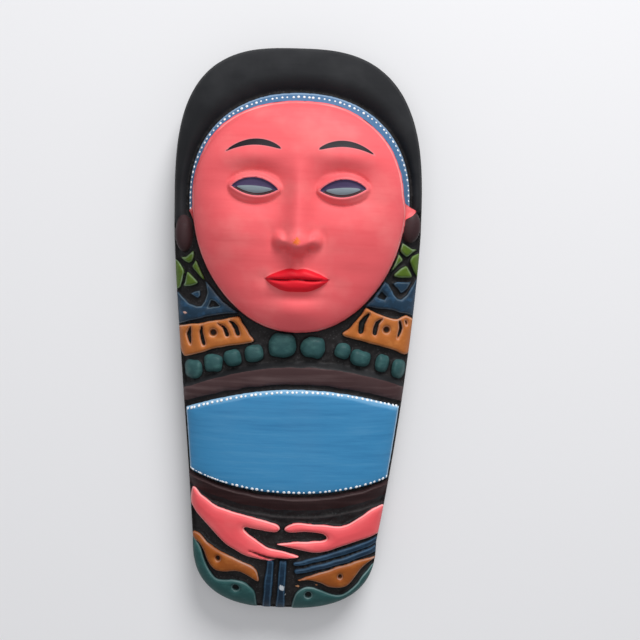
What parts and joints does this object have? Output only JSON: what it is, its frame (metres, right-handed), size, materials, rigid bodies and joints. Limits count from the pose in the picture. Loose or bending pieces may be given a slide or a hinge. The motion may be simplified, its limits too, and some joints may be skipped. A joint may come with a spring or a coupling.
{
  "type": "ceramic wall mask",
  "caption": "Long hollow-backed clay wall mask: a calm face under smooth hair above a wrapped body with crossed hands, carved in low relief and painted.",
  "frame": {"origin": "middle of the flat back rim, in the plane it lies on", "axes": "+X to the viewer's right, +Y from the foot to the crown of the head, +Z out of the face"},
  "size_m": [0.093, 0.2134, 0.0416],
  "materials": {
    "painted_clay": "satin hand-applied paint over fired clay, bare clay in the hollow"
  },
  "bodies": {
    "root": {"mask": "painted_clay"}
  },
  "joints": []
}
